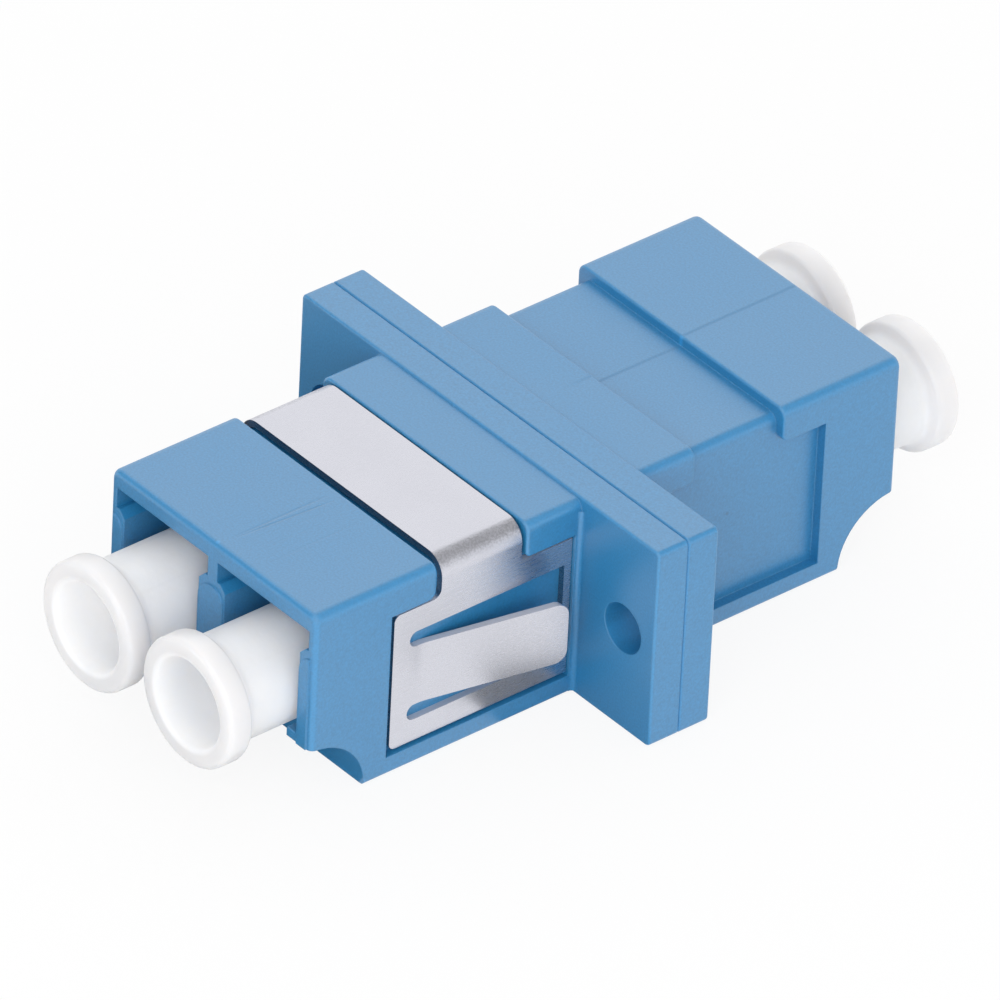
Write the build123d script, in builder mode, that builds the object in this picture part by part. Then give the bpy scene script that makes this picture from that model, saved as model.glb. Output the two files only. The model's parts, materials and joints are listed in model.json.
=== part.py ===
"""Duplex fibre optic adapter: two welded half housings, a panel clip, two sleeves, four dust caps.

Millimetres. X runs across the two ports, Y along the fibre and Z up. The origin is on the
bottom face, midway between the ports, on the plane where the two halves are welded.
"""
from build123d import *
import os

# Housing
port_pitch = 6.25
half_length = 14.91
body_width = 12.7
body_height = 9.18
head_length = 6.1
channel_length = 4.54
channel_depth = 0.45
edge_radius = 0.25
top_edge_radius = 0.45
channel_rim_radius = 0.12
face_edge_radius = 0.28
small_radius = 0.12
overcut = 1.0

# Flange
flange_width = 22.05
flange_half_thickness = 1.53
flange_rise = 0.125
flange_hole_margin = 1.9
flange_hole_height = 4.68
flange_hole_diameter = 2.2
weld_bevel = 0.07
root_fillet = 0.22

# Recess for the clip's side plates
recess_depth = 0.45
recess_front_margin = 3.86
recess_bottom_margin = 0.88
recess_rear_rib = 0.25
tab_height = 1.6
head_tab_radius = 0.4
pad_tab_radius = 0.25

# Finger scallop across the lower edge of each port face
scallop_radius = 2.8

# Ports
port_axis_height = 4.85
port_width = 4.66
port_ledge_rise = 2.6
port_ledge_slope = 0.65
hat_width = 5.67
top_wall = 0.8
hat_mouth_depth = 3.3
hat_depth = 8.0
latch_width = 3.46
latch_shoulder_drop = 1.65
floor_wall = 1.2
web_half_thickness = 1.5
port_corner_radius = 0.12
arch_width = 1.5
arch_top_rise = 2.3
arch_rise = 0.07

# Barrels and the split sleeves they hold
sleeve_diameter = 1.62
sleeve_bore = 1.25
sleeve_length = 11.4
sleeve_slot = 0.22
sleeve_play = 0.05
barrel_wall = 0.58
barrel_lip_length = 0.5
barrel_lip_bore = 1.36

# Clip
clip_thickness = 0.3
clip_bend_radius = 0.9
clip_gap = 0.14
clip_front_gap = 0.27
clip_rear_gap = 0.03
clip_corner_radius = 0.3
bridge_setback = 0.22
clip_bottom_bar = 1.02
clip_front_bar = 0.83
clip_rear_bar = 0.35
tongue_height = 2.81
tongue_slot = 0.72
tongue_tip_gap = 0.78
tongue_lift = 1.3
tongue_bend_radius = 2.5
tongue_tip_radius = 0.55

# Dust caps
cap_reach = 3.7
rim_diameter = 5.56
rim_length = 1.14
rim_radius = 0.22
neck_clearance = 0.08
neck_length = 5.6
neck_fillet = 0.55
cap_insertion = 11.4
barrel_clearance = 0.1
tube_diameter = 4.1
tube_overlap = 0.7
tube_chamfer = 0.3
mouth_diameter = 3.9
mouth_depth = 4.2
mouth_bottom_diameter = 3.3
mouth_fillet = 0.7

# Sizes that follow from the ones above
half_width = body_width / 2
flange_height = body_height + flange_rise
flange_hole_spacing = flange_width - 2 * flange_hole_margin
pad_length = half_length - flange_half_thickness - head_length - channel_length
channel_front = half_length - head_length
channel_rear = flange_half_thickness + pad_length
recess_front = half_length - recess_front_margin
recess_rear = flange_half_thickness + recess_rear_rib
recess_top = body_height - tab_height
hat_top = body_height - top_wall
port_ledge_height = port_axis_height + port_ledge_rise
port_ledge_chamfer = port_ledge_slope * (hat_width - port_width) / 2
latch_shoulder_height = port_axis_height - latch_shoulder_drop
arch_top_height = port_axis_height + arch_top_rise
barrel_bore = sleeve_diameter + 2 * sleeve_play
barrel_diameter = barrel_bore + 2 * barrel_wall
sleeve_half_room = sleeve_length / 2 + sleeve_play
barrel_tip = sleeve_half_room + barrel_lip_length
port_centres = (-port_pitch / 2, port_pitch / 2)


def across(y):
    """Plane square to the fibre at a distance in front of the weld; it extrudes forwards."""
    return Plane((0, -y, 0), x_dir=(1, 0, 0), z_dir=(0, -1, 0))


def box_between(x, y, z, mode=Mode.SUBTRACT):
    """Box from pairs of limits, with y counted forwards from the weld."""
    size = (x[1] - x[0], y[1] - y[0], z[1] - z[0])
    with Locations(((x[0] + x[1]) / 2, -(y[0] + y[1]) / 2, (z[0] + z[1]) / 2)):
        Box(*size, mode=mode)


def near(value, target):
    return abs(value - target) < 0.01


# One half of the housing, from the weld forwards
with BuildPart() as front_housing:
    # Body and flange
    with BuildSketch(across(0)):
        with Locations((0, body_height / 2)):
            Rectangle(body_width, body_height)
    extrude(amount=half_length)
    long_edges = front_housing.edges().filter_by(Axis.Y).group_by(Axis.Z)
    fillet(long_edges[0], edge_radius)
    fillet(long_edges[-1], top_edge_radius)
    port_face_rim = front_housing.edges().group_by(Axis.Y)[0].filter_by(
        lambda e: e.center().Z > body_height - top_edge_radius or near(abs(e.center().X), half_width)
    )
    fillet(port_face_rim, face_edge_radius)
    with BuildSketch(across(0)):
        with Locations((0, flange_height / 2)):
            Rectangle(flange_width, flange_height)
        with Locations(
            (-flange_hole_spacing / 2, flange_hole_height), (flange_hole_spacing / 2, flange_hole_height)
        ):
            Circle(flange_hole_diameter / 2, mode=Mode.SUBTRACT)
    extrude(amount=flange_half_thickness)

    # Corners of the flange, its outer rim and the weld bevel
    flange_corners = front_housing.edges().filter_by(Axis.Y).filter_by(
        lambda e: near(abs(e.center().X), flange_width / 2)
    )
    fillet(flange_corners, edge_radius)
    weld_rim = front_housing.faces().sort_by(Axis.Y)[-1].outer_wire().edges()
    chamfer(weld_rim, weld_bevel)
    flange_front = front_housing.edges().filter_by(
        lambda e: near(e.center().Y, -flange_half_thickness)
        and (abs(e.center().X) > half_width + edge_radius or e.center().Z > body_height + flange_rise / 2)
        and e.geom_type != GeomType.CIRCLE
    )
    fillet(flange_front, small_radius)

    # Fillet in the corner between the body's sides and the flange
    with BuildSketch(Plane.XY.offset(small_radius)):
        for side in (-1, 1):
            corner = (side * half_width, -flange_half_thickness)
            with Locations(corner):
                Rectangle(2 * root_fillet, 2 * root_fillet)
            with Locations((corner[0] + side * root_fillet, corner[1] - root_fillet)):
                Circle(root_fillet, mode=Mode.SUBTRACT)
    extrude(amount=body_height - top_edge_radius - small_radius)

    # Clip channel over the top and the recess in each side
    box_between(
        (-body_width, body_width),
        (channel_rear, channel_front),
        (body_height - channel_depth, body_height + channel_depth),
    )
    for side in (-1, 1):
        with BuildSketch(Plane.YZ.offset(side * (half_width - recess_depth))):
            with BuildLine():
                Polyline(
                    (-recess_rear, recess_bottom_margin),
                    (-recess_front, recess_bottom_margin),
                    (-recess_front, recess_top),
                    (-channel_front, recess_top),
                    (-channel_front, body_height + channel_depth),
                    (-channel_rear, body_height + channel_depth),
                    (-channel_rear, recess_top),
                    (-recess_rear, recess_top),
                    close=True,
                )
            make_face()
        extrude(amount=side * 2 * recess_depth, mode=Mode.SUBTRACT)
    for tab_edge, radius in ((channel_front, head_tab_radius), (channel_rear, pad_tab_radius)):
        tab_corners = front_housing.edges().filter_by(Axis.X).filter_by(
            lambda e: near(e.center().Z, recess_top) and near(-e.center().Y, tab_edge)
        )
        fillet(tab_corners, radius)
    channel_edges = front_housing.edges().filter_by(Axis.Y).filter_by(
        lambda e: near(e.center().Z, body_height - channel_depth)
        and near(abs(e.center().X), half_width - recess_depth)
    )
    fillet(channel_edges, top_edge_radius)
    rounded_from = (half_width - top_edge_radius / 2, body_height - top_edge_radius)
    channel_rims = front_housing.edges().filter_by(
        lambda e: (near(-e.center().Y, channel_front) or near(-e.center().Y, channel_rear))
        and (
            near(e.center().Z, body_height)
            or near(abs(e.center().X), half_width)
            or (abs(e.center().X) > rounded_from[0] and e.center().Z > rounded_from[1])
        )
    )
    fillet(channel_rims, channel_rim_radius)

    # Low arched lands on the port face, between the ports and beside them
    with BuildSketch(across(half_length)):
        with Locations(*[(x, 0) for x in (-port_pitch, 0, port_pitch)]):
            SlotOverall(2 * arch_top_height, arch_width, rotation=90)
        with Locations((0, body_height / 2)):
            Rectangle(body_width - 2 * face_edge_radius, body_height - 2 * edge_radius, mode=Mode.INTERSECT)
    extrude(amount=arch_rise)

    # Finger scallop
    with BuildSketch(Plane.YZ):
        with Locations((-half_length, 0)):
            Circle(scallop_radius)
    extrude(amount=body_width, both=True, mode=Mode.SUBTRACT)

    # Ports: body of the plug, hat over it and latch slot under it
    for x in port_centres:
        box_between(
            (x - port_width / 2, x + port_width / 2),
            (web_half_thickness, half_length + overcut),
            (latch_shoulder_height, port_ledge_height),
        )
        box_between(
            (x - latch_width / 2, x + latch_width / 2),
            (web_half_thickness, half_length + overcut),
            (floor_wall, latch_shoulder_height + port_corner_radius),
        )
        box_between(
            (x - hat_width / 2, x + hat_width / 2),
            (half_length - hat_mouth_depth, half_length + overcut),
            (port_ledge_height, hat_top),
        )
        box_between(
            (x - port_width / 2, x + port_width / 2),
            (half_length - hat_depth, half_length + overcut),
            (port_ledge_height - port_corner_radius, hat_top),
        )
    ledge_corners = front_housing.edges().filter_by(Axis.Y).filter_by(
        lambda e: near(e.center().Z, port_ledge_height)
        and any(near(abs(e.center().X - x), port_width / 2) for x in port_centres)
        and -e.center().Y > half_length - hat_mouth_depth
    )
    chamfer(ledge_corners, port_ledge_chamfer)

    # Barrels for the sleeves, with a lip that keeps each sleeve in
    with BuildSketch(across(0)):
        with Locations(*[(x, port_axis_height) for x in port_centres]):
            Circle(barrel_diameter / 2)
    extrude(amount=barrel_tip)
    with BuildSketch(across(0)):
        with Locations(*[(x, port_axis_height) for x in port_centres]):
            Circle(barrel_lip_bore / 2)
    extrude(amount=barrel_tip, mode=Mode.SUBTRACT)
    with BuildSketch(across(0)):
        with Locations(*[(x, port_axis_height) for x in port_centres]):
            Circle(barrel_bore / 2)
    extrude(amount=sleeve_half_room, mode=Mode.SUBTRACT)

# The other half is the same moulding turned round
with BuildPart() as rear_housing:
    add(front_housing.part.rotate(Axis.Z, 180))

# Panel clip: one folded sheet over the front half
clip_half_width = half_width - recess_depth + clip_thickness
clip_top = body_height
plate_front = recess_front - clip_front_gap
plate_rear = recess_rear + clip_rear_gap
plate_bottom = recess_bottom_margin + clip_gap
plate_top = recess_top - clip_gap
bridge_front = channel_front - clip_gap - bridge_setback
bridge_rear = channel_rear + clip_gap
window_bottom = plate_bottom + clip_bottom_bar
window_top = window_bottom + tongue_height + 2 * tongue_slot
window_front = plate_front - clip_front_bar
window_rear = plate_rear + clip_rear_bar
tongue_bottom = window_bottom + tongue_slot
tongue_top = tongue_bottom + tongue_height
tongue_tip = window_rear + tongue_tip_gap
tongue_root = window_front - tongue_slot

with BuildPart() as panel_clip:
    # Folded blank: a U over the top and both sides
    with BuildSketch(across(plate_rear)) as fold:
        with Locations((0, clip_top / 2)):
            Rectangle(2 * clip_half_width, clip_top)
        fillet(fold.vertices().group_by(Axis.Z)[-1], clip_bend_radius)
        with BuildSketch(across(plate_rear), mode=Mode.SUBTRACT) as inside:
            with Locations((0, (clip_top - clip_thickness) / 2)):
                Rectangle(2 * (clip_half_width - clip_thickness), clip_top - clip_thickness)
            fillet(inside.vertices().group_by(Axis.Z)[-1], clip_bend_radius - clip_thickness)
    extrude(amount=plate_front - plate_rear)

    # Outline of the side plates and of the narrower bridge
    with BuildSketch(Plane.YZ) as outline:
        with BuildLine():
            Polyline(
                (-plate_rear, plate_bottom),
                (-plate_front, plate_bottom),
                (-plate_front, plate_top),
                (-bridge_front, plate_top),
                (-bridge_front, clip_top + overcut),
                (-bridge_rear, clip_top + overcut),
                (-bridge_rear, plate_top),
                (-plate_rear, plate_top),
                close=True,
            )
        make_face()
        outer_corners = [v for v in outline.vertices() if near(v.X, -plate_front)]
        fillet(outer_corners, clip_corner_radius)
        for bridge_edge, radius in ((bridge_front, head_tab_radius), (bridge_rear, pad_tab_radius)):
            inner_corners = [
                v for v in outline.vertices() if near(v.Y, plate_top) and near(v.X, -bridge_edge)
            ]
            fillet(inner_corners, radius)
        # Window behind the tongue's root, and a round-ended slot above and below it
        with Locations((-(tongue_root + window_rear) / 2, (window_bottom + window_top) / 2)):
            Rectangle(tongue_root - window_rear, window_top - window_bottom, mode=Mode.SUBTRACT)
        with Locations(
            (-tongue_root, tongue_bottom - tongue_slot / 2), (-tongue_root, tongue_top + tongue_slot / 2)
        ):
            SlotOverall(2 * (window_front - tongue_root), tongue_slot, mode=Mode.SUBTRACT)
    extrude(amount=body_width, both=True, mode=Mode.INTERSECT)

    # Tongues, rooted at the front and sprung outwards towards the flange
    for side in (-1, 1):
        outer = side * clip_half_width
        inner = side * (clip_half_width - clip_thickness)
        with BuildSketch(Plane.XY.offset(tongue_bottom)) as strip:
            with BuildLine():
                Polyline(
                    (inner, -window_front),
                    (outer, -window_front),
                    (outer, -tongue_root),
                    (outer + side * tongue_lift, -tongue_tip),
                    (inner + side * tongue_lift, -tongue_tip),
                    (inner, -tongue_root),
                    close=True,
                )
            make_face()
            fillet([v for v in strip.vertices() if near(v.Y, -tongue_root)], tongue_bend_radius)
        extrude(amount=tongue_height)
    tip_corners = panel_clip.edges().filter_by(
        lambda e: near(-e.center().Y, tongue_tip) and e.length < 2 * clip_thickness
    )
    fillet(tip_corners, tongue_tip_radius)

# Split sleeves: a ceramic tube with one slot along its whole length
alignment_sleeves = {}
for name, x in zip(("alignment_sleeve_left", "alignment_sleeve_right"), port_centres):
    with BuildPart() as sleeve:
        with BuildSketch(across(-sleeve_length / 2)):
            with Locations((x, port_axis_height)):
                Circle(sleeve_diameter / 2)
                Circle(sleeve_bore / 2, mode=Mode.SUBTRACT)
            with Locations((x, port_axis_height + sleeve_diameter / 2)):
                Rectangle(sleeve_slot, sleeve_diameter, mode=Mode.SUBTRACT)
        extrude(amount=sleeve_length)
    alignment_sleeves[name] = sleeve

# Dust caps: a turned profile of radius against distance out of the port face
neck_diameter = port_width - 2 * neck_clearance
tube_bore = barrel_diameter + 2 * barrel_clearance
tube_bore_end = barrel_tip - half_length + tube_overlap
neck_end = cap_reach - rim_length - neck_length

dust_caps = {}
for end, outward in (("front", -1), ("rear", 1)):
    for name, x in zip((f"dust_cap_{end}_left", f"dust_cap_{end}_right"), port_centres):
        cap_origin = (x, outward * half_length, port_axis_height)
        port_face = Plane(cap_origin, x_dir=(1, 0, 0), z_dir=(0, 0, outward))
        with BuildPart() as cap:
            with BuildSketch(port_face):
                with BuildLine():
                    Polyline(
                        (0, tube_bore_end),
                        (tube_bore / 2, tube_bore_end),
                        (tube_bore / 2, -cap_insertion),
                        (tube_diameter / 2 - tube_chamfer, -cap_insertion),
                        (tube_diameter / 2, tube_chamfer - cap_insertion),
                        (tube_diameter / 2, neck_end - (neck_diameter - tube_diameter) / 2),
                        (neck_diameter / 2, neck_end),
                        (neck_diameter / 2, cap_reach - rim_length),
                        (rim_diameter / 2, cap_reach - rim_length),
                        (rim_diameter / 2, cap_reach),
                        (mouth_diameter / 2, cap_reach),
                        (mouth_bottom_diameter / 2, cap_reach - mouth_depth),
                        (0, cap_reach - mouth_depth),
                        close=True,
                    )
                make_face()
            revolve(axis=Axis(port_face.origin, port_face.y_dir))
            rim_edges = [
                e for e in cap.edges().filter_by(GeomType.CIRCLE)
                if near(e.radius, rim_diameter / 2) or near(e.radius, mouth_diameter / 2)
            ]
            fillet(rim_edges, rim_radius)
            neck_root = [
                e for e in cap.edges().filter_by(GeomType.CIRCLE)
                if near(e.radius, neck_diameter / 2) and e.center().Y * outward > half_length
            ]
            fillet(neck_root, neck_fillet)
            mouth_floor = [
                e for e in cap.edges().filter_by(GeomType.CIRCLE) if near(e.radius, mouth_bottom_diameter / 2)
            ]
            fillet(mouth_floor, mouth_fillet)
        dust_caps[name] = cap

pieces = {
    "front_housing": front_housing,
    "rear_housing": rear_housing,
    "panel_clip": panel_clip,
    **alignment_sleeves,
    **dust_caps,
}
os.makedirs("parts", exist_ok=True)
for name, piece in pieces.items():
    piece.part.label = name
    export_step(piece.part, f"parts/{name}.step")
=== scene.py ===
"""Dresses the packed fibre optic adapter in Blender and sets it in a plain white studio.

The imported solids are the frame. Each one gets a smooth-shaded copy in its place and a
procedural material. The stage, the lamps and the camera give the photograph's view.
"""

import json
import math
from functools import reduce

import bmesh
import bpy
from bpy.props import FloatProperty, FloatVectorProperty, PointerProperty
from mathutils import Matrix, Vector

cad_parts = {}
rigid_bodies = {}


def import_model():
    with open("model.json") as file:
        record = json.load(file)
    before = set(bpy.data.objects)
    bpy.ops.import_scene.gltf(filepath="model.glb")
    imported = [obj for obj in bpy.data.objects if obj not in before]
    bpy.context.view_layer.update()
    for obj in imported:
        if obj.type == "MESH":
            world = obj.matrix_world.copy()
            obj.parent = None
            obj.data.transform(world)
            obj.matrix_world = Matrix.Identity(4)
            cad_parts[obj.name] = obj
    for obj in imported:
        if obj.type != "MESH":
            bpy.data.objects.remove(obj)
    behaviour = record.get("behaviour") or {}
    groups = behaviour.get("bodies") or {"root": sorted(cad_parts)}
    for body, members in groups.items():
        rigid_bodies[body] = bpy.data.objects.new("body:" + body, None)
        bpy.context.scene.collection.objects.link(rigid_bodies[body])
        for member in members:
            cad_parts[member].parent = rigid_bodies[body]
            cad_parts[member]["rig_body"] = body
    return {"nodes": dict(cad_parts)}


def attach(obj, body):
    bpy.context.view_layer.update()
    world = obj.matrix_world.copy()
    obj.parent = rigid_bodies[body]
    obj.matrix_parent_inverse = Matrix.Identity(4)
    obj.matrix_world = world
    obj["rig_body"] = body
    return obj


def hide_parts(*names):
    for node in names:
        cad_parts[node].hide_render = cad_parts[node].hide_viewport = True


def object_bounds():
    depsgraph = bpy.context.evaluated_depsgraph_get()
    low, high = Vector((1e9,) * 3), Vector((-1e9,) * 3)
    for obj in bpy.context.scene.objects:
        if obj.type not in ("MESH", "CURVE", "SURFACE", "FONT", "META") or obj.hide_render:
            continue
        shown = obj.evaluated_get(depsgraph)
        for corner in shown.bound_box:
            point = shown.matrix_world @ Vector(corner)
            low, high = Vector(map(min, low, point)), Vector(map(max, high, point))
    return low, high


bl_info = {
    "name": "Fibre adapter dresser",
    "version": (1, 0, 0),
    "blender": (4, 5, 0),
    "location": "View3D > Sidebar > Adapter",
    "description": "Finishes a duplex fibre adapter and lights it for a product picture",
    "category": "Object",
}

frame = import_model()
CAD_LOW, CAD_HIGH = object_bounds()
CENTRE = (CAD_LOW + CAD_HIGH) / 2
MM = 0.001


# ---------------------------------------------------------------- settings

class HousingSettings(bpy.types.PropertyGroup):
    colour: FloatVectorProperty(
        name="Colour", description="Colour of the moulded housings", subtype="COLOR",
        size=3, min=0, max=1, default=(0.02, 0.2, 0.425))
    roughness: FloatProperty(
        name="Roughness", description="How matt the moulded skin is", default=0.38, min=0, max=1)
    skin_size: FloatProperty(
        name="Skin size", description="Size of the fine texture left by the mould",
        default=0.09 * MM, unit="LENGTH")
    skin_height: FloatProperty(
        name="Skin height", description="Depth of that texture", default=0.006 * MM, unit="LENGTH")
    line_width: FloatProperty(
        name="Witness line width", description="Width of the mould line along the top of the rear half",
        default=0.34 * MM, unit="LENGTH")
    edge_radius: FloatProperty(
        name="Edge radius", description="Radius that the light sees on every edge of the mouldings",
        default=0.08 * MM, unit="LENGTH")


class ClipSettings(bpy.types.PropertyGroup):
    colour: FloatVectorProperty(
        name="Colour", description="Colour of the spring steel", subtype="COLOR",
        size=3, min=0, max=1, default=(0.73, 0.735, 0.8))
    roughness: FloatProperty(
        name="Roughness", description="How matt the rolled sheet is", default=0.27, min=0, max=1)
    grain_size: FloatProperty(
        name="Grain size", description="Width of one rolling mark", default=0.03 * MM, unit="LENGTH")
    grain_height: FloatProperty(
        name="Grain height", description="Depth of the rolling marks", default=0.0004 * MM, unit="LENGTH")


class SleeveSettings(bpy.types.PropertyGroup):
    colour: FloatVectorProperty(
        name="Colour", description="Colour of the ceramic sleeves", subtype="COLOR",
        size=3, min=0, max=1, default=(0.85, 0.84, 0.8))
    roughness: FloatProperty(
        name="Roughness", description="How matt the ground ceramic is", default=0.18, min=0, max=1)


class CapSettings(bpy.types.PropertyGroup):
    colour: FloatVectorProperty(
        name="Colour", description="Colour of the dust caps", subtype="COLOR",
        size=3, min=0, max=1, default=(0.975, 0.966, 0.982))
    roughness: FloatProperty(
        name="Roughness", description="How matt the caps are", default=0.45, min=0, max=1)
    skin_size: FloatProperty(
        name="Skin size", description="Size of the faint unevenness of the soft plastic",
        default=0.5 * MM, unit="LENGTH")
    depth_of_glow: FloatProperty(
        name="Depth of glow", description="How far light spreads inside the plastic",
        default=2.5 * MM, unit="LENGTH")


class StudioSettings(bpy.types.PropertyGroup):
    azimuth: FloatProperty(
        name="Azimuth", description="Camera's turn from the front towards the right",
        default=math.radians(48.757), subtype="ANGLE")
    elevation: FloatProperty(
        name="Elevation", description="Camera's height above the horizon",
        default=math.radians(35.362), subtype="ANGLE")
    roll: FloatProperty(
        name="Roll", description="Camera's tilt about its own axis",
        default=math.radians(2.915), subtype="ANGLE")
    distance: FloatProperty(
        name="Distance", description="From the camera to the middle of the adapter",
        default=0.83, unit="LENGTH")
    pixels_per_mm: FloatProperty(
        name="Scale", description="Pixels per millimetre at the middle of a 1000 pixel frame", default=25.4)
    shift_x: FloatProperty(
        name="Shift right", description="Picture moved to the right, in pixels", default=4.3)
    shift_y: FloatProperty(
        name="Shift down", description="Picture moved down, in pixels", default=6.1)
    rear_light: FloatProperty(
        name="Rear light", description="Power of the softbox at the rear left, which gives the top its sheen",
        default=0.3, unit="POWER")
    front_light: FloatProperty(
        name="Front light", description="Power of the softbox at the front", default=0.3, unit="POWER")
    side_light: FloatProperty(
        name="Side light", description="Power of the softbox at the right", default=0.1, unit="POWER")
    ambient: FloatProperty(
        name="Ambient", description="Strength of the room light", default=0.77)


# ---------------------------------------------------------------- node helpers

def new_group(name, inputs, outputs):
    """Empty shader group with the named sockets, and its input and output nodes."""
    group = bpy.data.node_groups.new(name, "ShaderNodeTree")
    for label, kind, default in inputs:
        socket = group.interface.new_socket(name=label, in_out="INPUT", socket_type=kind)
        if default is not None:
            socket.default_value = default
    for label, kind in outputs:
        group.interface.new_socket(name=label, in_out="OUTPUT", socket_type=kind)
    return group, group.nodes.new("NodeGroupInput"), group.nodes.new("NodeGroupOutput")


def feed(tree, socket, value):
    """Link a value that is a socket to the input socket, or set the socket to it."""
    if isinstance(value, bpy.types.NodeSocket):
        tree.links.new(value, socket)
    else:
        socket.default_value = value


def add_node(tree, kind, values=None, **attributes):
    """New node with its attributes set and its input sockets fed."""
    node = tree.nodes.new(kind)
    for key, value in attributes.items():
        setattr(node, key, value)
    for socket, value in (values or {}).items():
        feed(tree, node.inputs[socket], value)
    return node


def use_group(tree, make, values):
    """Node of a shared group, which is made the first time that it is asked for."""
    name = make.__name__
    return add_node(tree, "ShaderNodeGroup", values, node_tree=bpy.data.node_groups.get(name) or make(name))


def maths(tree, operation, *operands):
    return add_node(tree, "ShaderNodeMath", dict(enumerate(operands)), operation=operation).outputs[0]


def chained(tree, operation, values):
    """The operation carried along a list of values, as in a sum or a product."""
    return reduce(lambda so_far, value: maths(tree, operation, so_far, value), values)


def product(tree, *values):
    return chained(tree, "MULTIPLY", values)


def total(tree, *values):
    return chained(tree, "ADD", values)


def largest(tree, *values):
    return chained(tree, "MAXIMUM", values)


def noise(tree, vector, scale, detail=2.0, roughness=0.5):
    values = {"Vector": vector, "Scale": scale, "Detail": detail, "Roughness": roughness}
    return add_node(tree, "ShaderNodeTexNoise", values).outputs["Fac"]


def ramp(tree, value, low, high):
    """Smooth 0 to 1 as the value goes from low to high."""
    values = {"Value": value, "From Min": low, "From Max": high}
    return add_node(tree, "ShaderNodeMapRange", values, interpolation_type="SMOOTHSTEP").outputs["Result"]


def band(tree, value, middle, outer, inner):
    """1 within the inner distance of the middle, and 0 past the outer one."""
    return ramp(tree, maths(tree, "ABSOLUTE", maths(tree, "SUBTRACT", value, middle)), outer, inner)


def vector_maths(tree, operation, *operands):
    values = dict(enumerate(operands))
    return add_node(tree, "ShaderNodeVectorMath", values, operation=operation).outputs


def split(tree, vector):
    """The X, Y and Z sockets of a vector."""
    return add_node(tree, "ShaderNodeSeparateXYZ", {"Vector": vector}).outputs


def mix_colour(tree, factor, first, second):
    sockets = {0: factor, 6: first, 7: second}
    return add_node(tree, "ShaderNodeMix", sockets, data_type="RGBA").outputs[2]


def object_place(tree):
    return tree.nodes.new("ShaderNodeTexCoord").outputs["Object"]


def surface_normal(tree):
    return tree.nodes.new("ShaderNodeNewGeometry").outputs["Normal"]


def rgba(colour, brightness=1.0):
    return (*(brightness * channel for channel in colour), 1.0)


def new_material(name):
    """Material with a Principled BSDF; returns the tree and the shader too."""
    material = bpy.data.materials.new(name)
    material.use_nodes = True
    tree = material.node_tree
    return material, tree, tree.nodes["Principled BSDF"]


def dress(tree, shader, **values):
    """Feed the shader's sockets, which are given with _ for each space in their names."""
    for name, value in values.items():
        feed(tree, shader.inputs[name.replace("_", " ")], value)


# ---------------------------------------------------------------- shared effects

NOISE_MIDDLE = 0.5
DRIFTS_PER_METRE = 260.0


def moulded_skin(name):
    """Fine mould texture with slow drifts of tone and gloss."""
    group, given, result = new_group(
        name,
        [("Place", "NodeSocketVector", None), ("Colour", "NodeSocketColor", None),
         ("Cells per Metre", "NodeSocketFloat", 10000.0), ("Tone Drift", "NodeSocketFloat", 0.06),
         ("Grain", "NodeSocketFloat", 0.06), ("Roughness", "NodeSocketFloat", 0.4),
         ("Roughness Drift", "NodeSocketFloat", 0.05)],
        [("Colour", "NodeSocketColor"), ("Roughness", "NodeSocketFloat"), ("Height", "NodeSocketFloat")])
    place = given.outputs["Place"]
    fine = noise(group, place, given.outputs["Cells per Metre"], 3.0, 0.6)
    fine_swing = maths(group, "SUBTRACT", fine, NOISE_MIDDLE)
    slow_swing = maths(group, "SUBTRACT", noise(group, place, DRIFTS_PER_METRE), NOISE_MIDDLE)
    drift = product(group, slow_swing, given.outputs["Tone Drift"])
    grain = product(group, fine_swing, given.outputs["Grain"])
    brightness = total(group, 1.0, total(group, drift, grain))
    tone = add_node(group, "ShaderNodeHueSaturation", {"Value": brightness, "Color": given.outputs["Colour"]})
    gloss = maths(group, "MULTIPLY_ADD", slow_swing, given.outputs["Roughness Drift"],
                  given.outputs["Roughness"])
    feed(group, result.inputs["Colour"], tone.outputs["Color"])
    feed(group, result.inputs["Roughness"], gloss)
    feed(group, result.inputs["Height"], fine)
    return group


def specks(name):
    """Sparse tiny specks, such as dust and flecks in the plastic."""
    group, given, result = new_group(
        name,
        [("Place", "NodeSocketVector", None), ("Cells per Metre", "NodeSocketFloat", 700.0),
         ("Speck Radius", "NodeSocketFloat", 0.06), ("Share", "NodeSocketFloat", 0.06)],
        [("Mask", "NodeSocketFloat")])
    cells = add_node(group, "ShaderNodeTexVoronoi", {
        "Vector": given.outputs["Place"], "Scale": given.outputs["Cells per Metre"]})
    chance = add_node(group, "ShaderNodeSeparateColor", {"Color": cells.outputs["Color"]}).outputs["Red"]
    chosen = maths(group, "LESS_THAN", chance, given.outputs["Share"])
    near = maths(group, "LESS_THAN", cells.outputs["Distance"], given.outputs["Speck Radius"])
    feed(group, result.inputs["Mask"], product(group, chosen, near))
    return group


def strokes(name):
    """Fine marks stretched along one direction, such as rolling marks and light scratches."""
    group, given, result = new_group(
        name,
        [("Place", "NodeSocketVector", None), ("Squeeze", "NodeSocketVector", (1.0, 1.0, 1.0)),
         ("Marks per Metre", "NodeSocketFloat", 20000.0), ("Low", "NodeSocketFloat", 0.3),
         ("High", "NodeSocketFloat", 0.7)],
        [("Mask", "NodeSocketFloat")])
    squeezed = vector_maths(group, "MULTIPLY", given.outputs["Place"], given.outputs["Squeeze"])["Vector"]
    marks = noise(group, squeezed, given.outputs["Marks per Metre"], 4.0, 0.55)
    feed(group, result.inputs["Mask"], ramp(group, marks, given.outputs["Low"], given.outputs["High"]))
    return group


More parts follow.
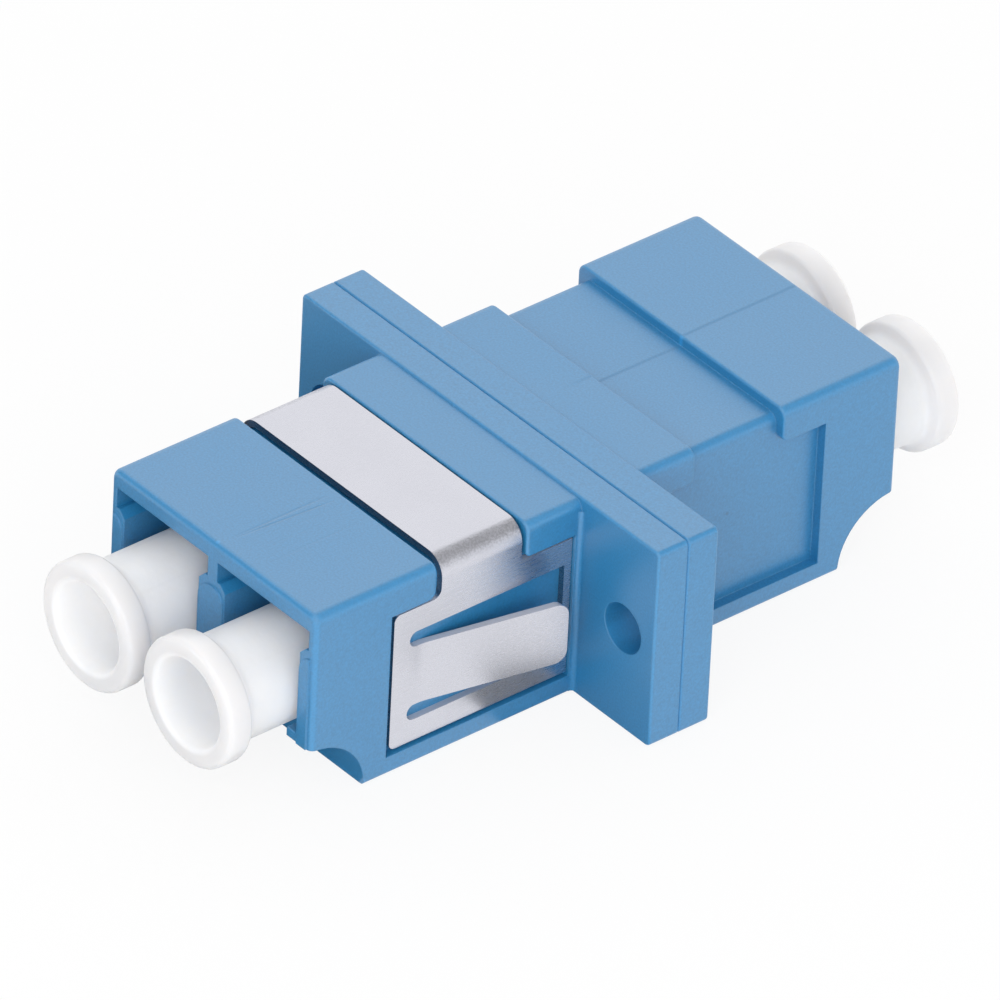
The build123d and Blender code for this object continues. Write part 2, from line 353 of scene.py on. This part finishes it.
def soft_edges(name):
    """Normals that round every edge a little, and a mask of those edges."""
    group, given, result = new_group(
        name, [("Radius", "NodeSocketFloat", 0.1 * MM)],
        [("Normal", "NodeSocketVector"), ("Mask", "NodeSocketFloat")])
    bevel = add_node(group, "ShaderNodeBevel", {"Radius": given.outputs["Radius"]}, samples=6)
    rounded = bevel.outputs["Normal"]
    agreement = vector_maths(group, "DOT_PRODUCT", rounded, surface_normal(group))["Value"]
    feed(group, result.inputs["Normal"], rounded)
    feed(group, result.inputs["Mask"], ramp(group, agreement, 0.995, 0.8))
    return group


def spot(name):
    """Soft round spot about a point, such as a fleck and the painted highlight of a nick."""
    group, given, result = new_group(
        name, [("Place", "NodeSocketVector", None), ("Middle", "NodeSocketVector", (0.0, 0.0, 0.0)),
               ("Radius", "NodeSocketFloat", 0.1 * MM)],
        [("Mask", "NodeSocketFloat")])
    apart = vector_maths(group, "DISTANCE", given.outputs["Place"], given.outputs["Middle"])["Value"]
    ratio = maths(group, "DIVIDE", apart, given.outputs["Radius"])
    feed(group, result.inputs["Mask"], ramp(group, ratio, 1.0, 0.4))
    return group


# ---------------------------------------------------------------- pieces

SMOOTH_ANGLE = math.radians(40)
MERGE_DISTANCE = 0.0005 * MM

# Marks on the housings. A pair of places runs from where the mark is nil to where it is full, with Y along
# the fibre to the rear, X across and Z up. A face counts as top where its normal's Z is above LEVEL
LEVEL = 0.9
LINE_START = (2.4 * MM, 4.6 * MM)
LINE_WOBBLE = 0.1 * MM
# Half width of the step, as a share of the line's width
STEP_SHARE = 0.3
WOBBLES_PER_METRE = 300.0
# Each scratch on the front head: its lean, its place across and its half width
SCRATCHES = ((0.0, 0.17 * MM, 0.09 * MM), (-0.071, 1.24 * MM, 0.07 * MM))
SCRATCH_CORE = 0.02 * MM
SCRATCHED_BEHIND = (-14.6 * MM, -12.6 * MM)
SCRATCHED_BEFORE = (-9.0 * MM, -10.4 * MM)
SCUFFED_FROM_THE_LEFT = (0.3 * MM, 1.0 * MM)
SCUFFED_FROM_THE_RIGHT = (4.2 * MM, 2.0 * MM)
SCUFF_SHARE = 0.4
# A small nick in the front head's top edge; its lighter colour is painted highlight
NICK = {"Middle": (0.05 * MM, -14.72 * MM, 9.12 * MM), "Radius": 0.15 * MM}
FLECK = {"Middle": (5.9 * MM, 6.5 * MM, 4.95 * MM), "Radius": 0.12 * MM}
# Shares of darkening: the groove share is painted shade in the witness line's groove on top; dust, fleck and
# scratches are real marks
DARKENING = {"groove": 0.17, "dust": 0.35, "fleck": 0.45, "scratches": 0.13}
# Shares of painted highlight, which lightens the colour: on the notch, the nick, every rounded edge and the
# fillets
LIGHTENING = {"notch": 0.8, "nick": 0.6, "edges": 0.35, "fillets": 0.25}
# Facings of the fillets, which get painted highlight
FILLET_FACING = (0.99, 0.86)
# Brightness of the housing's colour where a mask is full: darker for real marks and the painted groove shade,
# lighter for painted highlights
DARKENED = 0.4
LIGHTENED = 1.6
# In depths of the skin
LINE_STEP = 5.0
SCRATCH_DEPTH = 2.0

# The clip. Facings are parts of the normal, and below the bridge only cut faces look up
BEND_ABOVE = (0.25, 0.6)
BEND_BELOW = (0.995, 0.93)
CUT_FACING = (0.6, 0.8)
SHEARED_FACING = (0.8, 0.95)
BRIDGE_UNDERSIDE = (8.0 * MM, 7.6 * MM)
CLOUDS_PER_METRE = 420.0
PITS_PER_METRE = 9000.0
SPECKLES_PER_METRE = 11000.0
STRETCH_MARKS = (0.42, 0.6)
STRETCH_SHARE = 0.35
TONE_SHARES = {"rolling": 0.25, "clouds": 0.5}
GLOSS_LOSS = {"rolling": 0.08, "clouds": 0.05, "sheared": 0.3, "bend": 0.1}
MEAN_GLOSS_LOSS = 0.05
SHEARED_METAL_LOSS = 0.6
# Brightness of the steel's colour where a mask is full; the darkening of the cut faces is painted shade
TONED = 0.9
STRETCHED = 0.45
CUT = 0.5
# In depths of the grain
PIT_DEPTH = 0.4
ROLLING_DEPTH = 0.7
SPECKLE_DEPTH = 50.0

# Dust on the caps, and how bright their colour is under it, and on the rim, where it is painted shade
CAP_DUST_SHARE = 0.25
DUSTY = 0.55
RIM = 0.74
CAP_SKIN_HEIGHT = 0.01 * MM
# Rim of a dust cap, about its port's axis
PORT_AXIS_X = 3.125 * MM
PORT_AXIS_Z = 4.85 * MM
RIM_INSIDE = (1.95 * MM, 2.2 * MM)
RIM_START = (17.1 * MM, 17.5 * MM)


def shares_of(tree, shares, **masks):
    """The masks, each times its own share."""
    return [product(tree, mask, shares[name]) for name, mask in masks.items()]


def add_object(name, data):
    """New object in the scene's own collection."""
    thing = bpy.data.objects.new(name, data)
    bpy.context.scene.collection.objects.link(thing)
    return thing


def smooth_copy(node, material):
    """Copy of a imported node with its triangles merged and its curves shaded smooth, in the node's place."""
    source = frame["nodes"][node]
    shape = bmesh.new()
    shape.from_mesh(source.data)
    bmesh.ops.remove_doubles(shape, verts=shape.verts, dist=MERGE_DISTANCE)
    bmesh.ops.dissolve_degenerate(shape, edges=shape.edges, dist=MERGE_DISTANCE)
    for face in shape.faces:
        face.smooth = True
    for edge in shape.edges:
        edge.smooth = edge.is_manifold and edge.calc_face_angle() < SMOOTH_ANGLE
    mesh = bpy.data.meshes.new(node + "_skin")
    shape.to_mesh(mesh)
    shape.free()
    piece = add_object(node + "_skin", mesh)
    mesh.materials.append(material)
    weighting = piece.modifiers.new("Weighted normals", "WEIGHTED_NORMAL")
    weighting.keep_sharp = True
    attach(piece, source["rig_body"])
    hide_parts(node)


class COUPLER_OT_finish_housings(bpy.types.Operator):
    """Give both moulded housings their satin blue skin"""
    bl_idname = "coupler.finish_housings"
    bl_label = "Finish housings"

    def execute(self, context):
        settings = context.scene.coupler_housing
        material, tree, shader = new_material("moulded_housing")
        place = object_place(tree)
        across, along, _ = split(tree, place)
        on_top = maths(tree, "GREATER_THAN", split(tree, surface_normal(tree))["Z"], LEVEL)
        skin = use_group(tree, moulded_skin, {
            "Place": place, "Colour": rgba(settings.colour), "Cells per Metre": 1 / settings.skin_size,
            "Tone Drift": 0.07, "Grain": 0.7, "Roughness": settings.roughness, "Roughness Drift": 0.08})
        edges = use_group(tree, soft_edges, {"Radius": settings.edge_radius})
        groove, notch, step = self.witness_line(tree, settings.line_width, place, across, along, on_top)
        scratches = self.scratches(tree, place, across, along, on_top)
        # Painted highlight of the nick
        nick = use_group(tree, spot, {"Place": place, **NICK}).outputs["Mask"]
        fleck = use_group(tree, spot, {"Place": place, **FLECK}).outputs["Mask"]
        dust = use_group(tree, specks, {
            "Place": place, "Cells per Metre": 620.0, "Speck Radius": 0.05, "Share": 0.07}).outputs["Mask"]
        dark = largest(tree, *shares_of(
            tree, DARKENING, groove=groove, dust=dust, fleck=fleck, scratches=scratches))
        # Painted highlights on the notch, the nick, the rounded edges and the fillets
        light = largest(tree, *shares_of(
            tree, LIGHTENING, notch=notch, nick=nick, edges=edges.outputs["Mask"],
            fillets=self.fillets(tree)))
        # Real marks, and the painted shade of the witness groove, darken the colour
        shaded = mix_colour(tree, dark, skin.outputs["Colour"], rgba(settings.colour, DARKENED))
        height = maths(tree, "SUBTRACT", skin.outputs["Height"], product(tree, step, LINE_STEP))
        height = maths(tree, "SUBTRACT", height, product(tree, scratches, SCRATCH_DEPTH))
        bump = add_node(tree, "ShaderNodeBump", {
            "Height": height, "Distance": settings.skin_height, "Normal": edges.outputs["Normal"]})
        dress(tree, shader, Base_Color=mix_colour(tree, light, shaded, rgba(settings.colour, LIGHTENED)),
              Roughness=skin.outputs["Roughness"], Normal=bump.outputs["Normal"],
              Specular_IOR_Level=1.0, IOR=1.6)
        for node in ("front_housing", "rear_housing"):
            smooth_copy(node, material)
        return {"FINISHED"}

    def witness_line(self, tree, width, place, across, along, on_top):
        """Mould line in the middle of the rear half: painted shade in its groove on top, a painted highlight
        on its notch where the faces stand, and the small step between its two sides, which is a real bump."""
        swing = maths(tree, "SUBTRACT", noise(tree, place, WOBBLES_PER_METRE), NOISE_MIDDLE)
        wobble = product(tree, swing, LINE_WOBBLE)
        beside = total(tree, across, wobble)
        reach = ramp(tree, along, *LINE_START)
        rise = ramp(tree, beside, -STEP_SHARE * width, STEP_SHARE * width)
        step = product(tree, rise, product(tree, on_top, reach))
        line = product(tree, ramp(tree, maths(tree, "ABSOLUTE", beside), width / 2, 0.0), reach)
        # Painted shade: the witness line's groove on top is darkened in colour
        groove = product(tree, line, on_top)
        # The rest of the line, where it crosses the standing faces, is lightened as the painted highlight of
        # its notch
        return groove, maths(tree, "SUBTRACT", line, groove), step

    def scratches(self, tree, place, across, along, on_top):
        """Scratches on top of the front head, and faint scuffs on its right side."""
        lines = []
        for lean, middle, half_width in SCRATCHES:
            leaning = maths(tree, "MULTIPLY_ADD", along, lean, across)
            lines.append(band(tree, leaning, middle, half_width, SCRATCH_CORE))
        scuffs = use_group(tree, strokes, {
            "Place": place, "Squeeze": (1.0, 0.03, 1.0), "Marks per Metre": 5000.0,
            "Low": 0.52, "High": 0.66}).outputs["Mask"]
        scuffed = product(tree, ramp(tree, across, *SCUFFED_FROM_THE_LEFT),
                          ramp(tree, across, *SCUFFED_FROM_THE_RIGHT))
        marks = total(tree, largest(tree, *lines), product(tree, scuffs, scuffed, SCUFF_SHARE))
        reach = product(tree, ramp(tree, along, *SCRATCHED_BEHIND), ramp(tree, along, *SCRATCHED_BEFORE))
        return product(tree, marks, reach, on_top)

    def fillets(self, tree):
        """1 on the fillets, which face along none of the three axes; their colour gets painted highlight."""
        turned = vector_maths(tree, "ABSOLUTE", surface_normal(tree))["Vector"]
        return ramp(tree, largest(tree, *split(tree, turned)), *FILLET_FACING)


class COUPLER_OT_finish_clip(bpy.types.Operator):
    """Give the panel clip its rolled spring steel"""
    bl_idname = "coupler.finish_clip"
    bl_label = "Finish clip"

    def execute(self, context):
        settings = context.scene.coupler_clip
        material, tree, shader = new_material("spring_steel")
        place = object_place(tree)
        rolling = use_group(tree, strokes, {
            "Place": place, "Squeeze": (1.0, 0.06, 1.0), "Marks per Metre": 1 / settings.grain_size,
            "Low": 0.25, "High": 0.75}).outputs["Mask"]
        clouds = noise(tree, place, CLOUDS_PER_METRE, 3.0)
        pits = noise(tree, place, PITS_PER_METRE)
        speckle = noise(tree, place, SPECKLES_PER_METRE, 2.0, 0.6)
        _, lengthways, upwards = split(tree, surface_normal(tree))
        bend = product(tree, ramp(tree, upwards, *BEND_ABOVE), ramp(tree, upwards, *BEND_BELOW))
        cut = ramp(tree, maths(tree, "ABSOLUTE", lengthways), *CUT_FACING)
        sheared = product(tree, ramp(tree, upwards, *SHEARED_FACING),
                          ramp(tree, split(tree, place)["Z"], *BRIDGE_UNDERSIDE))
        tone = total(tree, *shares_of(tree, TONE_SHARES, rolling=rolling, clouds=clouds))
        stretched = product(tree, bend, ramp(tree, speckle, *STRETCH_MARKS), STRETCH_SHARE)
        steel = mix_colour(tree, tone, rgba(settings.colour), rgba(settings.colour, TONED))
        steel = mix_colour(tree, stretched, steel, rgba(settings.colour, STRETCHED))
        # Painted shade: the cut faces, which face along the fibre, are darkened in colour
        steel = mix_colour(tree, cut, steel, rgba(settings.colour, CUT))
        gloss = total(tree, settings.roughness - MEAN_GLOSS_LOSS, *shares_of(
            tree, GLOSS_LOSS, rolling=rolling, clouds=clouds, sheared=sheared, bend=bend))
        height = total(tree, product(tree, pits, PIT_DEPTH), product(tree, rolling, ROLLING_DEPTH),
                       product(tree, bend, speckle, SPECKLE_DEPTH))
        bump = add_node(tree, "ShaderNodeBump", {"Height": height, "Distance": settings.grain_height})
        dress(tree, shader, Base_Color=steel, Roughness=gloss, Normal=bump.outputs["Normal"],
              Metallic=maths(tree, "MULTIPLY_ADD", sheared, -SHEARED_METAL_LOSS, 1.0))
        smooth_copy("panel_clip", material)
        return {"FINISHED"}


class COUPLER_OT_finish_sleeves(bpy.types.Operator):
    """Give the split sleeves their ground ceramic"""
    bl_idname = "coupler.finish_sleeves"
    bl_label = "Finish sleeves"

    def execute(self, context):
        settings = context.scene.coupler_sleeve
        material, tree, shader = new_material("ground_ceramic")
        skin = use_group(tree, moulded_skin, {
            "Place": object_place(tree), "Colour": rgba(settings.colour), "Cells per Metre": 20000.0,
            "Tone Drift": 0.02, "Grain": 0.02, "Roughness": settings.roughness, "Roughness Drift": 0.05})
        dress(tree, shader, Base_Color=skin.outputs["Colour"], Roughness=skin.outputs["Roughness"], IOR=1.9)
        for side in ("left", "right"):
            smooth_copy(f"alignment_sleeve_{side}", material)
        return {"FINISHED"}


class COUPLER_OT_finish_caps(bpy.types.Operator):
    """Give the dust caps their soft white plastic"""
    bl_idname = "coupler.finish_caps"
    bl_label = "Finish caps"

    def execute(self, context):
        settings = context.scene.coupler_cap
        material, tree, shader = new_material("cap_plastic")
        place = object_place(tree)
        skin = use_group(tree, moulded_skin, {
            "Place": place, "Colour": rgba(settings.colour), "Cells per Metre": 1 / settings.skin_size,
            "Tone Drift": 0.025, "Grain": 0.03, "Roughness": settings.roughness, "Roughness Drift": 0.1})
        dust = use_group(tree, specks, {
            "Place": place, "Cells per Metre": 520.0, "Speck Radius": 0.045, "Share": 0.06}).outputs["Mask"]
        plastic = mix_colour(tree, product(tree, dust, CAP_DUST_SHARE), skin.outputs["Colour"],
                             rgba(settings.colour, DUSTY))
        # Painted shade: the rim's colour is darkened
        plastic = mix_colour(tree, self.rim(tree, place), plastic, rgba(settings.colour, RIM))
        bump = add_node(tree, "ShaderNodeBump", {
            "Height": skin.outputs["Height"], "Distance": CAP_SKIN_HEIGHT})
        dress(tree, shader, Base_Color=plastic, Roughness=skin.outputs["Roughness"],
              Normal=bump.outputs["Normal"], Subsurface_Weight=1.0, Subsurface_Radius=(1.0, 0.9, 0.8),
              Subsurface_Scale=settings.depth_of_glow, Specular_IOR_Level=0.9,
              Sheen_Weight=0.12, Sheen_Roughness=0.6)
        for end in ("front", "rear"):
            for side in ("left", "right"):
                smooth_copy(f"dust_cap_{end}_{side}", material)
        return {"FINISHED"}

    def rim(self, tree, place):
        """1 on the rolled rim at the outer end, where the colour gets painted shade, and 0 on the tube and in
        the mouth.
        """
        across, along, up = split(tree, place)
        beside = maths(tree, "SUBTRACT", maths(tree, "ABSOLUTE", across), PORT_AXIS_X)
        above = maths(tree, "SUBTRACT", up, PORT_AXIS_Z)
        radius = maths(tree, "SQRT", total(tree, product(tree, beside, beside), product(tree, above, above)))
        return product(tree, ramp(tree, radius, *RIM_INSIDE),
                       ramp(tree, maths(tree, "ABSOLUTE", along), *RIM_START))


# ---------------------------------------------------------------- stage

SENSOR_WIDTH = 36.0
FRAME_PIXELS = 1000
CLIP_RANGE = (0.01, 10.0)

FLOOR_HALF = 1.5
FLOOR_DROP = 0.01 * MM
FLOOR_GLOW = 0.88

LAMP_DISTANCE = 0.35
# Where each softbox stands and its side length
REAR_BOX = ((-0.613, 0.537, 0.579), 0.45)
FRONT_BOX = ((0.6, -0.7, 0.5), 0.25)
SIDE_BOX = ((1.0, 0.1, 0.15), 0.22)

# Cards on the floor: name, shade, middle and half size
CARD_DROP = 0.005 * MM
FLOOR_CARDS = (("flag_floor", 0.1, (-8.0 * MM, -13.5 * MM), (14.0 * MM, 12.0 * MM)),
               ("flag_ear", 0.35, (8.7 * MM, -3.3 * MM), (2.7 * MM, 1.8 * MM)))
# Cards that hang: name, direction from the adapter, direction of the width, and half size
HUNG_CARDS = (("flag_rear", (0.33, 0.537, 0.78), (1.0, 0.0, -0.42), (0.17, 0.09)),
              ("flag_front", (-0.613, -0.579, 0.537), (0.579, -0.613, 0.0), (0.12, 0.12)))
HUNG_CARD_SHADE = 0.2
HUNG_CARD_DISTANCE = 0.3


def softbox(name, direction, size, power):
    """Square area lamp that faces the middle of the adapter."""
    lamp = bpy.data.lights.new(name, "AREA")
    lamp.shape, lamp.size, lamp.energy = "SQUARE", size, power
    holder = add_object(name, lamp)
    holder.location = CENTRE + Vector(direction).normalized() * LAMP_DISTANCE
    holder.rotation_euler = (CENTRE - holder.location).to_track_quat("-Z", "Y").to_euler()
    return holder


def flat_sheet(name, half_size, pose, material):
    """Flat sheet with its place in its mesh."""
    shape = bmesh.new()
    bmesh.ops.create_grid(shape, x_segments=1, y_segments=1, size=1.0)
    bmesh.ops.scale(shape, vec=(*half_size, 1.0), verts=shape.verts)
    bmesh.ops.transform(shape, matrix=pose, verts=shape.verts)
    mesh = bpy.data.meshes.new(name)
    shape.to_mesh(mesh)
    shape.free()
    mesh.materials.append(material)
    return add_object(name, mesh)


class COUPLER_OT_build_studio(bpy.types.Operator):
    """Build the floor, the room light, the lamps and the camera"""
    bl_idname = "coupler.build_studio"
    bl_label = "Build studio"

    def execute(self, context):
        settings = context.scene.coupler_studio
        self.build_floor()
        self.build_cards()
        self.build_room(settings)
        self.build_lamps(settings)
        self.build_camera(settings)
        context.scene.view_settings.view_transform = "Standard"
        return {"FINISHED"}

    def build_floor(self):
        """White floor that takes the adapter's shadow and glows to the camera and in reflections."""
        material, tree, shader = new_material("white_sweep")
        dress(tree, shader, Base_Color=(0.9, 0.9, 0.9, 1.0), Roughness=0.9)
        glow = add_node(tree, "ShaderNodeEmission", {"Color": (1.0, 1.0, 1.0, 1.0), "Strength": 1.0})
        rays = tree.nodes.new("ShaderNodeLightPath").outputs
        seen = largest(tree, rays["Is Camera Ray"], rays["Is Glossy Ray"])
        both = add_node(tree, "ShaderNodeMixShader", {
            0: product(tree, seen, FLOOR_GLOW), 1: shader.outputs[0], 2: glow.outputs[0]})
        feed(tree, tree.nodes["Material Output"].inputs["Surface"], both.outputs[0])
        pose = Matrix.Translation((0.0, 0.0, CAD_LOW.z - FLOOR_DROP))
        floor = flat_sheet("studio_floor", (FLOOR_HALF, FLOOR_HALF), pose, material)

    def build_cards(self):
        """Dark cards that only reflections see: they keep the folds and the front faces deep in colour."""
        cards = []
        for name, shade, middle, half_size in FLOOR_CARDS:
            cards.append((name, shade, Matrix.Translation((*middle, CAD_LOW.z - CARD_DROP)), half_size))
        for name, direction, width, half_size in HUNG_CARDS:
            outwards = Vector(direction).normalized()
            along = (Vector(width) - Vector(width).dot(outwards) * outwards).normalized()
            turn = Matrix((along, outwards.cross(along), outwards)).transposed().to_4x4()
            pose = Matrix.Translation(CENTRE + outwards * HUNG_CARD_DISTANCE) @ turn
            cards.append((name, HUNG_CARD_SHADE, pose, half_size))
        for name, shade, pose, half_size in cards:
            material, tree, shader = new_material(name)
            dress(tree, shader, Base_Color=(shade, shade, shade, 1.0), Roughness=1.0, Specular_IOR_Level=0.0)
            card = flat_sheet(name, half_size, pose, material)
            card.visible_camera = card.visible_diffuse = False
            card.visible_shadow = card.visible_transmission = False

    def build_room(self, settings):
        """Room that looks white, and lights surfaces with the ambient strength."""
        room = bpy.context.scene.world or bpy.data.worlds.new("studio_room")
        bpy.context.scene.world = room
        room.use_nodes = True
        tree = room.node_tree
        tree.nodes.clear()
        rays = tree.nodes.new("ShaderNodeLightPath").outputs
        seen = largest(tree, rays["Is Camera Ray"], rays["Is Transmission Ray"], rays["Is Glossy Ray"])
        strength = maths(tree, "MULTIPLY_ADD", seen, 1.0 - settings.ambient, settings.ambient)
        light = add_node(tree, "ShaderNodeBackground", {"Color": (1.0, 1.0, 1.0, 1.0), "Strength": strength})
        output = tree.nodes.new("ShaderNodeOutputWorld")
        feed(tree, output.inputs["Surface"], light.outputs[0])

    def build_lamps(self, settings):
        """Three softboxes. The clip doesn't take the rear one's light, and reflections see only that one."""
        rear = softbox("softbox_rear", *REAR_BOX, settings.rear_light)
        front = softbox("softbox_front", *FRONT_BOX, settings.front_light)
        side = softbox("softbox_side", *SIDE_BOX, settings.side_light)
        front.visible_glossy = side.visible_glossy = False
        lit = bpy.data.collections.new("lit_from_the_rear")
        for thing in bpy.context.scene.objects:
            if thing.type == "MESH" and thing.name != "panel_clip_skin":
                lit.objects.link(thing)
        rear.light_linking.receiver_collection = lit

    def build_camera(self, settings):
        """Camera placed and framed as the one that took the photograph."""
        azimuth, elevation = settings.azimuth, settings.elevation
        back = Vector((math.sin(azimuth) * math.cos(elevation), -math.cos(azimuth) * math.cos(elevation),
                       math.sin(elevation)))
        right = Vector((math.cos(azimuth), math.sin(azimuth), 0))
        up = back.cross(right)
        turn = Matrix.Rotation(settings.roll, 3, back)
        right, up = turn @ right, turn @ up
        data = bpy.data.cameras.new("product_camera")
        data.sensor_width = SENSOR_WIDTH
        data.lens = settings.pixels_per_mm / MM * settings.distance / FRAME_PIXELS * SENSOR_WIDTH
        data.shift_x = -settings.shift_x / FRAME_PIXELS
        data.shift_y = settings.shift_y / FRAME_PIXELS
        data.clip_start, data.clip_end = CLIP_RANGE
        camera = add_object("product_camera", data)
        pose = Matrix((right, up, back)).transposed().to_4x4()
        pose.translation = Vector((0, 0, CENTRE.z)) + back * settings.distance
        camera.matrix_world = pose
        bpy.context.scene.camera = camera


class COUPLER_PT_adapter(bpy.types.Panel):
    bl_label = "Fibre adapter"
    bl_space_type = "VIEW_3D"
    bl_region_type = "UI"
    bl_category = "Adapter"

    def draw(self, context):
        for name, (kind, operator) in SETTINGS.items():
            box = self.layout.box()
            for key in kind.__annotations__:
                box.prop(getattr(context.scene, name), key)
            box.operator(operator.bl_idname)


SETTINGS = {
    "coupler_housing": (HousingSettings, COUPLER_OT_finish_housings),
    "coupler_clip": (ClipSettings, COUPLER_OT_finish_clip),
    "coupler_sleeve": (SleeveSettings, COUPLER_OT_finish_sleeves),
    "coupler_cap": (CapSettings, COUPLER_OT_finish_caps),
    "coupler_studio": (StudioSettings, COUPLER_OT_build_studio),
}


def register():
    for name, (kind, operator) in SETTINGS.items():
        bpy.utils.register_class(kind)
        bpy.utils.register_class(operator)
        setattr(bpy.types.Scene, name, PointerProperty(type=kind))
    bpy.utils.register_class(COUPLER_PT_adapter)


def unregister():
    bpy.utils.unregister_class(COUPLER_PT_adapter)
    for name, (kind, operator) in reversed(SETTINGS.items()):
        delattr(bpy.types.Scene, name)
        bpy.utils.unregister_class(operator)
        bpy.utils.unregister_class(kind)


def main():
    register()
    bpy.ops.coupler.finish_housings()
    bpy.ops.coupler.finish_clip()
    bpy.ops.coupler.finish_sleeves()
    bpy.ops.coupler.finish_caps()
    bpy.ops.coupler.build_studio()


if __name__ == "__main__":
    main()
